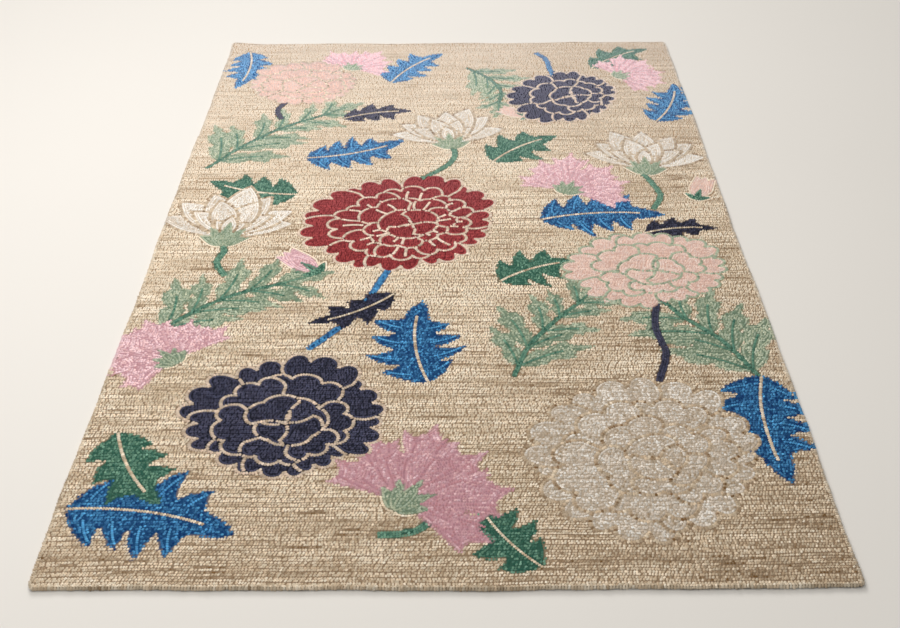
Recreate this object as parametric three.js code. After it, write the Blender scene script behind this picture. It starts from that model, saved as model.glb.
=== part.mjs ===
// Hand-tufted wool rug lying flat, in millimetres, +Z up.
// The origin is at floor height under the middle of the rug. +X runs across its width and +Y along its length.
// The rug is one piece: the tufted face and the cloth that it is worked through are one body,
// and the last row of loops rolls over the edge, so there is no binding, fringe or hem.

import * as THREE from 'three';

// Driving dimensions
const rug = {
  width: 1524,
  length: 2438,
  thickness: 10,
  cornerRadius: 16,
};

// How the pile rolls over at the rim, from the floor up
const edgeProfile = [
  { height: 0.0, inset: 2.2 },
  { height: 0.22, inset: 0.3 },
  { height: 0.55, inset: 0.0 },
  { height: 0.84, inset: 1.8 },
  { height: 1.0, inset: 5.4 },
];

// Unevenness of a rim that was cut and turned by hand
const rimWaves = [
  { length: 1130, reach: 1.7, phase: 0.4 },
  { length: 467, reach: 1.1, phase: 2.3 },
  { length: 181, reach: 0.6, phase: 4.1 },
];
const sideShift = { left: 0, right: 733, front: 1291, back: 1817 };

// Height of the pile, which the needle packs more and less closely
const pileWaves = [
  { acrossLength: 640, alongLength: 910, reach: 0.35, phase: 0.0 },
  { acrossLength: 310, alongLength: 420, reach: 0.25, phase: 1.7 },
];

// Where the rug doesn't lie quite flat: its back left corner curls, and its back edge ripples
const curl = { rise: 7, reachAcross: 120, reachAlong: 95 };
const ripple = { rise: 1.6, reachAlong: 70, waveLength: 390, phase: 0.9 };

// Steps of the mesh
const cells = { across: 26, along: 40 };
const layers = edgeProfile.length - 1;
const cornerStep = Math.tan(Math.PI / 8);

const fade = (distance, reach) => THREE.MathUtils.smoothstep(reach - distance, 0, reach);

const wave = (place, length, phase) => Math.sin((2 * Math.PI * place) / length + phase);

// Grid lines from one rim to the other, with two extra lines inside each corner's round
function stations(half, radius, count) {
  const rimLines = [half, half - radius * (1 - cornerStep), half - radius];
  const inner = count - 2 * rimLines.length + 2;
  const lines = rimLines.map((line) => -line);
  for (let step = 1; step < inner; step += 1) {
    lines.push((half - radius) * ((2 * step) / inner - 1));
  }
  return lines.concat(rimLines.reverse());
}

// Bends the square corner of the grid into a quarter circle
function roundCorner(place, half, radius) {
  const out = {
    x: Math.max(Math.abs(place.x) - (half.x - radius), 0),
    y: Math.max(Math.abs(place.y) - (half.y - radius), 0),
  };
  if (out.x === 0 || out.y === 0) {
    return place;
  }
  const shrink = Math.max(out.x, out.y) / Math.hypot(out.x, out.y);
  return {
    x: Math.sign(place.x) * (half.x - radius + out.x * shrink),
    y: Math.sign(place.y) * (half.y - radius + out.y * shrink),
  };
}

function rimOffset(place, shift) {
  return rimWaves.reduce((sum, each) => sum + each.reach * wave(place + shift, each.length, each.phase), 0);
}

// Moves the outline in and out, most at the rim and not at all in the middle
function unevenRim(place) {
  const across = place.x / (rug.width / 2);
  const along = place.y / (rug.length / 2);
  const sideways = rimOffset(place.y, across < 0 ? sideShift.left : sideShift.right);
  const endways = rimOffset(place.x, along < 0 ? sideShift.front : sideShift.back);
  return {
    x: place.x + sideways * Math.sign(across) * across ** 4,
    y: place.y + endways * Math.sign(along) * along ** 4,
  };
}

function pileHeight(place) {
  return pileWaves.reduce(
    (sum, each) =>
      sum + each.reach * wave(place.x, each.acrossLength, each.phase) * wave(place.y, each.alongLength, each.phase),
    0,
  );
}

// Height of the rug's underside above the floor
function lift(place) {
  const fromBack = rug.length / 2 - place.y;
  const fromLeft = place.x + rug.width / 2;
  const corner = curl.rise * fade(fromLeft, curl.reachAcross) * fade(fromBack, curl.reachAlong);
  const crest = Math.max(wave(place.x, ripple.waveLength, ripple.phase), 0);
  return corner + ripple.rise * crest * fade(fromBack, ripple.reachAlong);
}

// Bends a box of even cells into the rug
function rugGeometry() {
  const geometry = new THREE.BoxGeometry(1, 1, 1, cells.across, cells.along, layers);
  const points = geometry.attributes.position;
  for (let index = 0; index < points.count; index += 1) {
    const column = Math.round((points.getX(index) + 0.5) * cells.across);
    const row = Math.round((points.getY(index) + 0.5) * cells.along);
    const level = edgeProfile[Math.round((points.getZ(index) + 0.5) * layers)];
    const half = { x: rug.width / 2 - level.inset, y: rug.length / 2 - level.inset };
    const radius = rug.cornerRadius - level.inset;
    const square = {
      x: stations(half.x, radius, cells.across)[column],
      y: stations(half.y, radius, cells.along)[row],
    };
    const place = unevenRim(roundCorner(square, half, radius));
    const height = level.height * (rug.thickness + pileHeight(place)) + lift(place);
    points.setXYZ(index, place.x, place.y, height);
  }
  geometry.computeBoundingBox();
  const middle = geometry.boundingBox.getCenter(new THREE.Vector3());
  geometry.translate(-middle.x, -middle.y, 0);
  geometry.computeVertexNormals();
  return geometry;
}

function oatmealWool() {
  return new THREE.MeshStandardMaterial({ color: 0xcdbb9f, roughness: 0.95, metalness: 0 });
}

const group = new THREE.Group();
const rugMesh = new THREE.Mesh(rugGeometry(), oatmealWool());
rugMesh.name = 'rug';
group.add(rugMesh);

export default group;
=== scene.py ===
"""A hand-tufted wool rug lying on a pale floor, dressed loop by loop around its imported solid."""

import math
from dataclasses import dataclass

import bmesh
import bpy
import numpy as np
from mathutils import Matrix, Vector


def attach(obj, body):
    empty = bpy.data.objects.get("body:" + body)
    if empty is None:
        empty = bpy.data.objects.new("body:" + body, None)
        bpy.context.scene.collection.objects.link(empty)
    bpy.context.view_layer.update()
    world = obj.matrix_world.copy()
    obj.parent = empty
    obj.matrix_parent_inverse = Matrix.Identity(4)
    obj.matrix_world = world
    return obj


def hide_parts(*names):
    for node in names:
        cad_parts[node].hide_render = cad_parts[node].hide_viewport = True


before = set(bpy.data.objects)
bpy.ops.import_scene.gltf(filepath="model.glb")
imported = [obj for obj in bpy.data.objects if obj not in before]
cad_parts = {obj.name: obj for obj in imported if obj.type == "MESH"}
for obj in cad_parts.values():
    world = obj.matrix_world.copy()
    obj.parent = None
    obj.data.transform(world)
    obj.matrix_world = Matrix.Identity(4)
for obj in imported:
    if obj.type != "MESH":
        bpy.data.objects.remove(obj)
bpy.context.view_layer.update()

bl_info = {
    "name": "Hand-Tufted Floral Rug",
    "version": (1, 0, 0),
    "blender": (4, 5, 0),
    "location": "3D View > Sidebar > Rug",
    "description": "Makes a loop-pile wool rug with a scattered floral design",
    "category": "Add Mesh",
}

MM = 0.001
BODY = "root"
NODE = "rug"
SEED = 4711

# The rug's rim and lie, the same as in the solid, in millimetres and radians
RIM_WAVES = (
    {"length": 1130.0, "reach": 1.7, "phase": 0.4},
    {"length": 467.0, "reach": 1.1, "phase": 2.3},
    {"length": 181.0, "reach": 0.6, "phase": 4.1},
)
SIDE_SHIFT = {"left": 0.0, "right": 733.0, "front": 1291.0, "back": 1817.0}
PILE_WAVES = (
    {"across": 640.0, "along": 910.0, "reach": 0.35, "phase": 0.0},
    {"across": 310.0, "along": 420.0, "reach": 0.25, "phase": 1.7},
)
CURL = {"rise": 7.0, "reach_across": 120.0, "reach_along": 95.0}
RIPPLE = {"rise": 1.6, "reach_along": 70.0, "wave_length": 390.0, "phase": 0.9}


# Settings that a user would change


def setting(name, description, default, unit="LENGTH"):
    return bpy.props.FloatProperty(name=name, description=description, default=default, unit=unit)


def angle_setting(name, description, degrees):
    return setting(name, description, math.radians(degrees), "ROTATION")


def wool_colour(name, description, colour):
    """A colour setting, given as the eight-bit colour that the wool shows in soft daylight."""
    return bpy.props.FloatVectorProperty(
        name=name,
        description=description,
        subtype="COLOR_GAMMA",
        size=3,
        min=0.0,
        max=1.0,
        default=tuple(value / 255 for value in colour),
    )


class RugSizes(bpy.types.PropertyGroup):
    """Sizes of the rug and of its loops."""

    width: setting("Width", "Width of the rug, from rim to rim", 1.524)
    length: setting("Length", "Length of the rug, from rim to rim", 2.438)
    corner_radius: setting("Corner radius", "Round of the rug's corners", 0.016)
    pile_top: setting("Pile top", "Height of the loops' tops above the floor", 0.010)
    root_top: setting("Root top", "Height of the packed roots that the loops stand in", 0.0064)
    loop_pitch: setting("Loop pitch", "Distance from loop to loop along a row", 0.0058)
    row_pitch: setting("Row pitch", "Distance from row to row", 0.00625)


class RugWools(bpy.types.PropertyGroup):
    """Colours of the wools, each from its darkest loops to its lightest."""

    oatmeal_dark: wool_colour("Oatmeal, dark", "Darkest loops of the ground", (110, 78, 36))
    oatmeal_middle: wool_colour("Oatmeal, middle", "Loops of the ground between the two", (210, 192, 167))
    oatmeal_light: wool_colour("Oatmeal, light", "Lightest loops of the ground", (253, 240, 220))
    cream_dark: wool_colour("Cream, dark", "Darkest loops of the outlines and veins", (168, 150, 130))
    cream_light: wool_colour("Cream, light", "Lightest loops of the outlines and veins", (255, 234, 216))
    crimson_dark: wool_colour("Crimson, dark", "Darkest loops of the crimson bloom", (114, 40, 44))
    crimson_light: wool_colour("Crimson, light", "Lightest loops of the crimson bloom", (184, 80, 82))
    navy_dark: wool_colour("Navy, dark", "Darkest loops of the navy blooms", (34, 36, 50))
    navy_light: wool_colour("Navy, light", "Lightest loops of the navy blooms", (88, 89, 114))
    blue_dark: wool_colour("Blue, dark", "Darkest loops of the blue leaves", (0, 46, 100))
    blue_light: wool_colour("Blue, light", "Lightest loops of the blue leaves", (98, 182, 238))
    green_dark: wool_colour("Green, dark", "Darkest loops of the lobed leaves and stems", (40, 88, 74))
    green_light: wool_colour("Green, light", "Lightest loops of the lobed leaves and stems", (140, 184, 160))
    sage_dark: wool_colour("Sage, dark", "Darkest loops of the sprays", (104, 128, 106))
    sage_light: wool_colour("Sage, light", "Lightest loops of the sprays", (206, 212, 188))
    pink_dark: wool_colour("Pink, dark", "Darkest loops of the ragged blossoms", (178, 128, 138))
    pink_light: wool_colour("Pink, light", "Lightest loops of the ragged blossoms", (252, 220, 225))
    salmon_dark: wool_colour("Salmon, dark", "Darkest loops of the salmon blooms", (204, 164, 150))
    salmon_light: wool_colour("Salmon, light", "Lightest loops of the salmon blooms", (242, 222, 212))
    ivory_dark: wool_colour("Ivory, dark", "Darkest loops of the ivory blooms", (158, 138, 112))
    ivory_light: wool_colour("Ivory, light", "Lightest loops of the ivory blooms", (249, 245, 239))


class StudioSettings(bpy.types.PropertyGroup):
    """The camera and the light."""

    camera_place: bpy.props.FloatVectorProperty(
        name="Camera place",
        description="Where the camera stands",
        default=(0.0234, -2.5812, 1.6316),
        subtype="XYZ",
        unit="LENGTH",
    )
    camera_yaw: angle_setting("Yaw", "Turn of the camera to the right", -0.429)
    camera_pitch: angle_setting("Pitch", "How far the camera looks down", 36.504)
    camera_roll: angle_setting("Roll", "How far the camera leans", -0.535)
    lens: setting("Lens", "Focal length in millimetres", 45.655, "NONE")
    window_power: setting("Window light", "Power of the large soft light above the left side", 57.0, "POWER")
    back_power: setting("Back light", "Power of the low soft light behind the rug", 885.0, "POWER")
    room_light: setting("Room light", "Strength of the even light from all round", 0.308, "NONE")


WOOLS = ("oatmeal", "cream", "crimson", "navy", "blue", "green", "sage", "pink", "salmon", "ivory")


# Lines and outlines of the design, as complex numbers x + 1j * y in millimetres


def through(points, per_span=12):
    """A smooth line through a few points."""
    p = np.asarray(points, complex)
    p = np.concatenate([[2 * p[0] - p[1]], p, [2 * p[-1] - p[-2]]])
    t = np.linspace(0, 1, per_span, endpoint=False)
    spans = [
        0.5 * (2 * b + (c - a) * t + (2 * a - 5 * b + 4 * c - d) * t**2 + (3 * b - a - 3 * c + d) * t**3)
        for a, b, c, d in zip(p, p[1:], p[2:], p[3:])
    ]
    return np.concatenate(spans + [p[-2:-1]])


def bent(base, tip, bend, count=24):
    """A line from base to tip that bows sideways by bend times its length."""
    t = np.linspace(0, 1, count)
    middle = (base + tip) / 2 + 1j * (tip - base) * bend
    return (1 - t) ** 2 * base + 2 * t * (1 - t) * middle + t**2 * tip


def place_on(line, share):
    """Points at shares 0 to 1 of a line's length, and the line's direction there."""
    along = np.concatenate([[0.0], np.cumsum(np.abs(np.diff(line)))])

    def point(distance):
        distance = np.clip(distance, 0, along[-1])
        return np.interp(distance, along, line.real) + 1j * np.interp(distance, along, line.imag)

    at = np.clip(share, 0, 1) * along[-1]
    step = 0.01 * along[-1]
    way = point(at + step) - point(at - step)
    return point(at), way / np.maximum(np.abs(way), 1e-9)


def even_steps(line, step):
    """Points every step along a line, and the line's direction there."""
    length = np.abs(np.diff(line)).sum()
    count = max(int(round(length / step)), 1)
    return place_on(line, (np.arange(count) + 0.5) / count)


def closed(outline):
    return np.append(outline, outline[0])


def fan_petal(heart, axis, reach, spread, lobes, notch, torn=False):
    """A petal that widens from the heart to a scalloped rim, or to a torn one."""
    across = np.linspace(-1, 1, 10 * lobes + 1)
    bump = np.abs(np.sin(np.pi * lobes * (across + 1) / 2))
    dip = bump**0.7 if torn else 1 - bump**0.55
    rim = heart + reach * (1 - 0.14 * across**4) * (1 - notch * dip) * np.exp(1j * (axis + spread * across))
    side = np.linspace(0.06, 0.96, 9)
    width = spread * (0.42 + 0.58 * side**0.8)
    edge = reach * 0.86 * (1 - notch) * side
    right = heart + edge * np.exp(1j * (axis - width))
    left = heart + edge * np.exp(1j * (axis + width))
    return np.concatenate([right, rim, left[::-1]])


# How near its foot a leaf or petal is widest: the smaller, the nearer
LEAF_FULLNESS = 0.72
LOTUS_FULLNESS = 1.25


def almond(spine, width, fullness=LEAF_FULLNESS):
    """The outline of a plain pointed petal or leaflet round its spine."""
    t = np.linspace(0.0, 1.0, 24)
    point, way = place_on(spine, t)
    blade = 0.5j * way * width * np.sin(np.pi * t**fullness) ** 0.9
    return np.concatenate([point + blade, (point - blade)[-2:0:-1]])


def lobe_tips(spine, width, lobes, side):
    """Where the lobes on one side of a leaf end, and their shares of its length."""
    number = np.arange(lobes)
    share = 0.04 + 0.7 * (number + 0.95) / lobes
    point, way = place_on(spine, share)
    uneven_lobes = 1 + 0.12 * np.cos(2.4 * number + side + spine[0].real)
    blade = width / 2 * np.sin(np.pi * (share - 0.3 / lobes) ** LEAF_FULLNESS) ** 0.7 * uneven_lobes
    return point + side * 1j * way * blade, share


def lobed_side(spine, width, lobes, depth, side):
    """One side of a leaf from base to tip, cut into pointed lobes that lean towards the tip."""
    tips, share = lobe_tips(spine, width, lobes, side)
    notch_share = share + 0.1 / lobes
    point, way = place_on(spine, notch_share)
    blade = 0.5j * way * width * (1 - depth) * np.sin(np.pi * notch_share**LEAF_FULLNESS) ** 0.7
    parts = []
    start = spine[0]
    for tip, notch in zip(tips, point + side * blade):
        parts.append(bent(start, tip, 0.2 * side, 10)[:-1])
        parts.append(bent(tip, notch, -0.16 * side, 8)[:-1])
        start = notch
    parts.append(bent(start, spine[-1], 0.14 * side, 10)[:-1])
    return np.concatenate(parts)


def leaf_outline(spine, width, lobes, depth):
    left, right = (lobed_side(spine, width, lobes, depth, side) for side in (1, -1))
    return np.concatenate([left, spine[-1:], right[:0:-1]])


@dataclass
class Patch:
    """An area of one wool, with the look of its stitches."""

    order: int
    outline: np.ndarray
    wool: str
    # Its wool's tone, from the darkest loops at 0 to the lightest at 1
    tone: float = 0.5
    # How many rows follow the outline, and how much lighter they are than the rest
    echo: int = 1
    rim_tone: float = 0.0
    # How far the tone strays from stitch to stitch, and how far it drifts over the patch
    speckle: float = 0.14
    mottle: float = 0.0
    # Share of much lighter stitches
    flecks: float = 0.0
    # Where streaks meet, and how strong they are
    heart: complex | None = None
    streak: float = 0.0
    # How far the stitches turn, in radians
    curl: float = 0.0


@dataclass
class Row:
    """A single row of stitches along a line. A stitch is so many loop pitches long."""

    order: int
    line: np.ndarray
    wool: str
    tone: float = 0.5
    speckle: float = 0.16
    stitch: float = 1.7


class Drawing:
    """The floral design, with later areas and rows over earlier ones."""

    def __init__(self):
        self.patches, self.rows = [], []

    def area(self, outline, wool, edge=None, edge_tone=0.6, **look):
        order = len(self.patches) + 1
        self.patches.append(Patch(order, outline, wool, **look))
        if edge:
            self.rows.append(Row(order, closed(outline), edge, edge_tone))

    def row(self, line, wool, **look):
        self.rows.append(Row(len(self.patches), line, wool, **look))


# Motifs

# Where the petals of a round bloom meet, as a share of its radius from its middle
BLOOM_HEART = 0.1 - 0.12j
# The whorls of a bloom whose petals bear flames, and how far those lean off a petal's middle
FLAME_WHORLS = (1, 2)
FLAME_LEANS = (-0.3, 0.12)


def bloom(
    drawing,
    centre,
    radius,
    wool,
    edge,
    whorls,
    turn,
    squash,
    seed,
    tone=0.5,
    edge_tone=0.45,
    flames=None,
    **look,
):
    """A full round bloom. Each whorl is (size, petals, lobes on a petal, depth of the notches)."""
    rng = np.random.default_rng(seed)

    def placed(local):
        return centre + radius * np.exp(1j * turn) * (local.real + 1j * squash * local.imag)

    look = {"heart": placed(BLOOM_HEART), "streak": 0.1, **look}
    for level, (size, petals, lobes, notch) in enumerate(whorls):
        start = rng.uniform(0, 2 * np.pi)
        for number in range(petals):
            axis = start + 2 * np.pi * (number + rng.uniform(-0.16, 0.16)) / petals
            way = np.exp(1j * axis)
            dot = (BLOOM_HEART * way.conjugate()).real
            to_rim = -dot + math.sqrt(dot * dot + 1 - abs(BLOOM_HEART) ** 2)
            reach = size * to_rim * rng.uniform(0.9, 1.06)
            spread = np.pi / petals * rng.uniform(1.12, 1.4)
            petal = placed(fan_petal(BLOOM_HEART, axis, reach, spread, lobes, notch))
            shade = tone + rng.uniform(-0.07, 0.07)
            drawing.area(petal, wool, edge, edge_tone, tone=shade, **look)
            if flames and level in FLAME_WHORLS:
                for lean in FLAME_LEANS:
                    low, high = rng.uniform(0.5, 0.62), rng.uniform(0.78, 0.9)
                    way = np.exp(1j * (axis + lean * spread))
                    base, tip = (BLOOM_HEART + share * reach * way for share in (low, high))
                    flame = bent(base, tip, rng.uniform(-0.2, 0.2), 8)
                    drawing.row(placed(flame), flames, tone=0.6)


def outer_first(count, lean=0.0):
    """Even places from -1 to 1, the outer ones first. A small lean settles which of two like ones leads."""
    return sorted(np.linspace(-1, 1, count), key=lambda place: -abs(place) + lean * place)


# Tiers of a blossom seen from the side. Each is (size, petals, angle to which it fans out on either side)
CARNATION_TIERS = ((1.0, 6, 1.45), (0.74, 5, 0.85 * 1.45), (0.46, 3, 0.5 * 1.45))
LOTUS_TIERS = ((1.0, 7, 1.1), (0.78, 4, 0.62 * 1.1), (0.5, 3, 0.36 * 1.1))


def carnation(drawing, foot, axis, reach, tone, seed):
    """A pink blossom whose torn petals fan out in three tiers, with streaks of a deeper shade."""
    rng = np.random.default_rng(seed)
    for size, petals, fan in CARNATION_TIERS:
        for place in outer_first(petals):
            lean = axis + fan * place + rng.uniform(-0.07, 0.07)
            long = size * reach * (1 - 0.16 * place * place) * rng.uniform(0.88, 1.1)
            spread = fan / petals * rng.uniform(1.15, 1.45)
            petal = fan_petal(foot, lean, long, spread, lobes=2, notch=0.2, torn=True)
            shade = tone + rng.uniform(-0.1, 0.08)
            drawing.area(petal, "pink", echo=2, tone=shade, speckle=0.16, heart=foot, streak=0.15)
            for side in (-0.55, 0.5):
                way = np.exp(1j * (lean + side * spread))
                line = bent(foot + 0.4 * long * way, foot + rng.uniform(0.7, 0.86) * long * way, 0.08, 10)
                drawing.row(line, "pink", tone=tone - 0.36, speckle=0.12, stitch=1.3)
    cup(drawing, foot, axis, 0.34 * reach)


def lotus(drawing, foot, axis, reach, seed):
    """An ivory blossom with tall pointed petals in three tiers."""
    rng = np.random.default_rng(seed)
    look = {"echo": 2, "speckle": 0.09, "heart": foot, "streak": 0.1, "curl": 0.3}
    for size, petals, fan in LOTUS_TIERS:
        for place in outer_first(petals, lean=0.01):
            lean = axis + fan * place + rng.uniform(-0.05, 0.05)
            long = size * reach * (1 - 0.2 * place * place) * rng.uniform(0.9, 1.1)
            spine = bent(foot, foot + long * np.exp(1j * lean), -0.22 * place)
            petal = almond(spine, 0.36 * long, LOTUS_FULLNESS)
            shade = 0.74 + rng.uniform(-0.1, 0.1)
            drawing.area(petal, "ivory", edge="oatmeal", edge_tone=0.42, tone=shade, **look)
    cup(drawing, foot, axis, 0.36 * reach)


def cup(drawing, foot, axis, reach, wool="sage", sepals=5):
    """Small pointed sepals that hold a blossom."""
    for place in outer_first(sepals):
        tip = foot + reach * (1 - 0.25 * abs(place)) * np.exp(1j * (axis + 1.25 * place))
        spine = bent(foot - 0.25 * reach * np.exp(1j * axis), tip, -0.15 * place)
        drawing.area(almond(spine, 0.36 * reach), wool, tone=0.45 + 0.1 * place)


def bud(drawing, foot, axis, reach, wool):
    """A closed bud in its green sepals."""
    for place in (-1, 1, 0):
        spine = bent(foot, foot + reach * np.exp(1j * (axis + 0.22 * place)), -0.12 * place)
        drawing.area(almond(spine, 0.44 * reach), wool, tone=0.6 + 0.12 * place, echo=2)
    cup(drawing, foot, axis, 0.45 * reach, "green", sepals=3)


def leaf(drawing, spine, width, wool, lobes, depth=0.58, tone=0.3, speckle=0.19, glints=None):
    """A lobed leaf. Glints is the tone of lighter stitches that run out into the lobes."""
    outline = leaf_outline(spine, width, lobes, depth)
    look = {"tone": tone, "speckle": speckle, "flecks": 0.07 if glints else 0.0, "curl": 0.2}
    drawing.area(outline, wool, rim_tone=-0.16, mottle=0.16, **look)
    if glints:
        for side in (-1, 1):
            tips, share = lobe_tips(spine, width, lobes, side)
            roots, _ = place_on(spine, share - 0.5 / lobes)
            for root, ray in zip(roots, tips - roots):
                line = bent(root + 0.3 * ray, root + 0.86 * ray, 0.1 * side, 8)
                drawing.row(line, wool, tone=glints, stitch=1.1)


def midrib(drawing, spine, wool, tone, share, stitch):
    """A row of stitches from a leaf's base to a share of its length."""
    drawing.row(place_on(spine, np.linspace(0.0, share, 20))[0], wool, tone=tone, stitch=stitch)


def stem(drawing, points, wool, rows=3, tone=0.45):
    """A stalk of a few rows side by side."""
    line = through(points)
    point, way = place_on(line, np.linspace(0, 1, 5 * len(line)))
    half = 3.0 * rows
    outline = np.concatenate([point + 1j * way * half, (point - 1j * way * half)[::-1]])
    drawing.area(outline, wool, echo=0, tone=tone, speckle=0.12)
    for number in range(rows):
        drawing.row(point + 1j * way * 5.6 * (number - (rows - 1) / 2), wool, tone=tone, stitch=1.05)


def spray(drawing, points, pairs, length, seed):
    """A green stalk with pairs of toothed sage leaflets and one more at its tip."""
    rng = np.random.default_rng(seed)
    line = through(points)
    for number in range(pairs):
        share = 0.1 + 0.84 * number / max(pairs - 1, 1)
        base, way = (each[0] for each in place_on(line, np.array([share])))
        for side in (-1, 1):
            long = length * (1.1 - 0.5 * share) * rng.uniform(0.86, 1.14)
            tip = base + long * way * np.exp(1j * side * 0.8 * rng.uniform(0.85, 1.15))
            shade = 0.55 + rng.uniform(-0.15, 0.15)
            leaflet(drawing, bent(base, tip, -0.14 * side), 0.33 * long, shade, rib_share=0.62, speckle=0.2)
    base, way = (each[0] for each in place_on(line, np.array([0.97])))
    leaflet(drawing, bent(base, base + 0.7 * length * way, 0.08), 0.9 * 0.33 * length, 0.55, rib_share=0.55)
    stem(drawing, points, "green", rows=2, tone=0.35)


def leaflet(drawing, spine, width, tone, rib_share, **look):
    leaf(drawing, spine, width, "sage", lobes=2, depth=0.42, tone=tone, **look)
    midrib(drawing, spine, "green", 0.35, rib_share, stitch=1.2)


# The layout of the design, in millimetres from the rug's middle

# Each spray is (line of its stalk, pairs of leaflets, length of the leaflets, seed)
SPRAYS = (
    ((-700 + 330j, -610 + 470j, -500 + 590j, -370 + 680j), 6, 200, 1),
    ((700 - 640j, 640 - 500j, 560 - 400j, 520 - 330j), 5, 230, 2),
    ((-690 - 470j, -620 - 380j, -520 - 300j, -400 - 250j), 5, 200, 3),
    ((60 + 1010j, 130 + 930j, 170 + 830j, 160 + 740j), 5, 160, 4),
    ((150 - 620j, 190 - 510j, 260 - 410j, 330 - 330j), 5, 170, 5),
)
# Each stalk is (wool, its line)
STALKS = (
    ("blue", (-320 - 520j, -250 - 430j, -200 - 340j, -150 - 200j)),
    ("green", (-90 + 250j, -10 + 330j, 20 + 400j, 10 + 470j)),
    ("navy", (470 - 640j, 500 - 540j, 490 - 440j, 510 - 330j)),
    ("navy", (-520 + 640j, -540 + 700j, -520 + 760j, -500 + 800j)),
    ("green", (-560 - 220j, -590 - 160j, -580 - 110j, -590 - 60j)),
    ("green", (560 + 90j, 590 + 160j, 580 + 220j, 560 + 280j)),
    ("green", (-130 - 1090j, -60 - 1080j, -20 - 1040j, 0 - 1000j)),
    ("blue", (300 + 1130j, 330 + 1080j, 340 + 1000j, 350 + 930j)),
)
# Each leaf is (wool, base, tip, width, how far it bends)
LEAVES = (
    ("blue", -740 - 1020j, -400 - 1090j, 240, 0.14),
    ("green", -690 - 800j, -560 - 1010j, 170, -0.14),
    ("blue", 700 - 620j, 690 - 960j, 230, -0.14),
    ("green", 180 - 1170j, 60 - 1000j, 150, 0.12),
    ("blue", -40 - 640j, -60 - 330j, 230, 0.16),
    ("blue", 250 + 40j, 590 + 60j, 220, 0.14),
    ("green", 130 - 250j, 330 - 160j, 170, 0.16),
    ("green", -420 + 180j, -680 + 260j, 190, 0.16),
    ("blue", -420 + 390j, -130 + 500j, 190, -0.16),
    ("green", 130 + 360j, 330 + 520j, 190, 0.16),
    ("blue", 640 + 610j, 740 + 880j, 170, -0.14),
    ("blue", -690 + 1150j, -700 + 860j, 160, 0.15),
    ("blue", -190 + 900j, -20 + 1130j, 170, 0.15),
    ("navy", 520 - 30j, 720 - 10j, 110, 0.15),
    ("navy", -330 + 640j, -110 + 690j, 120, 0.15),
    ("navy", -130 - 300j, -330 - 420j, 110, 0.15),
    ("green", 480 + 1000j, 690 + 1160j, 150, 0.15),
)
# From this width on, a leaf's midrib has longer stitches
WIDE_LEAF = 150
# Each carnation is (foot, direction in radians, reach, tone, seed)
CARNATIONS = (
    (-90 - 1010j, 1.0, 250, 0.22, 11),
    (-620 - 560j, 2.4, 190, 0.66, 12),
    (330 + 190j, 1.1, 210, 0.72, 13),
    (-330 + 1010j, 1.2, 170, 0.78, 14),
    (560 + 940j, 0.5, 170, 0.78, 15),
)
# Each lotus is (foot, direction, reach, seed)
LOTUSES = ((-590 - 60j, 1.5, 270, 31), (10 + 460j, 1.7, 240, 32), (570 + 300j, 1.5, 250, 33))
# Each bud is (foot, direction, reach, wool)
BUDS = (
    (-330 - 200j, 2.4, 130, "pink"),
    (690 + 150j, 1.2, 120, "salmon"),
    (250 + 650j, 2.6, 110, "salmon"),
)
# The whorls of a full bloom, an open one and a loose one
FULL = ((1.0, 10, 3, 0.11), (0.76, 8, 3, 0.12), (0.52, 6, 2, 0.12), (0.3, 4, 1, 0.1))
OPEN = ((1.0, 9, 3, 0.12), (0.7, 6, 3, 0.12), (0.4, 4, 2, 0.1))
LOOSE = ((1.0, 8, 3, 0.13), (0.74, 6, 3, 0.13), (0.48, 5, 2, 0.12), (0.26, 3, 1, 0.1))
SALMON_LOOK = {"tone": 0.45, "edge_tone": 0.5, "echo": 2}
IVORY_LOOK = {"tone": 0.46, "edge_tone": 0.36, "rim_tone": -0.03, "speckle": 0.17, "curl": 0.7}
# Each bloom is (centre, radius, wool, wool of its edges, whorls, turn, squash, seed, the rest of its look)
BLOOMS = (
    (-130 + 40j, 265, "crimson", "cream", FULL, 0.3, 0.9, 21, {"flames": "cream"}),
    (-350 - 740j, 220, "navy", "cream", OPEN, -0.4, 0.92, 22, {"edge_tone": 0.28}),
    (370 + 790j, 195, "navy", "cream", OPEN, 0.9, 0.88, 23, {}),
    (500 - 190j, 205, "salmon", "sage", OPEN, 0.2, 0.82, 24, {"echo": 2, "tone": 0.6}),
    (-480 + 900j, 195, "salmon", "oatmeal", OPEN, -0.2, 0.82, 25, SALMON_LOOK),
    (400 - 870j, 265, "ivory", "oatmeal", LOOSE, 0.5, 0.88, 26, IVORY_LOOK),
)


def draw_design():
    """The whole floral design, each kind of motif over those before it."""
    design = Drawing()
    for each in SPRAYS:
        spray(design, *each)
    for wool, points in STALKS:
        stem(design, points, wool)
    for wool, base, tip, width, bend in LEAVES:
        spine = bent(base, tip, bend)
        lobes, glints = (4, 0.66) if wool == "blue" else (3, None)
        leaf(design, spine, width, wool, lobes, glints=glints)
        midrib(design, spine, "oatmeal", 0.6, 0.8, stitch=1.55 if width > WIDE_LEAF else 1.2)
    for each in CARNATIONS:
        carnation(design, *each)
    for each in LOTUSES:
        lotus(design, *each)
    for each in BUDS:
        bud(design, *each)
    for *facts, look in BLOOMS:
        bloom(design, *facts, **look)
    return design


# Rasters of the design, one cell for each square millimetre

# Cells outside the rug on every side
MARGIN = 30


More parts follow.
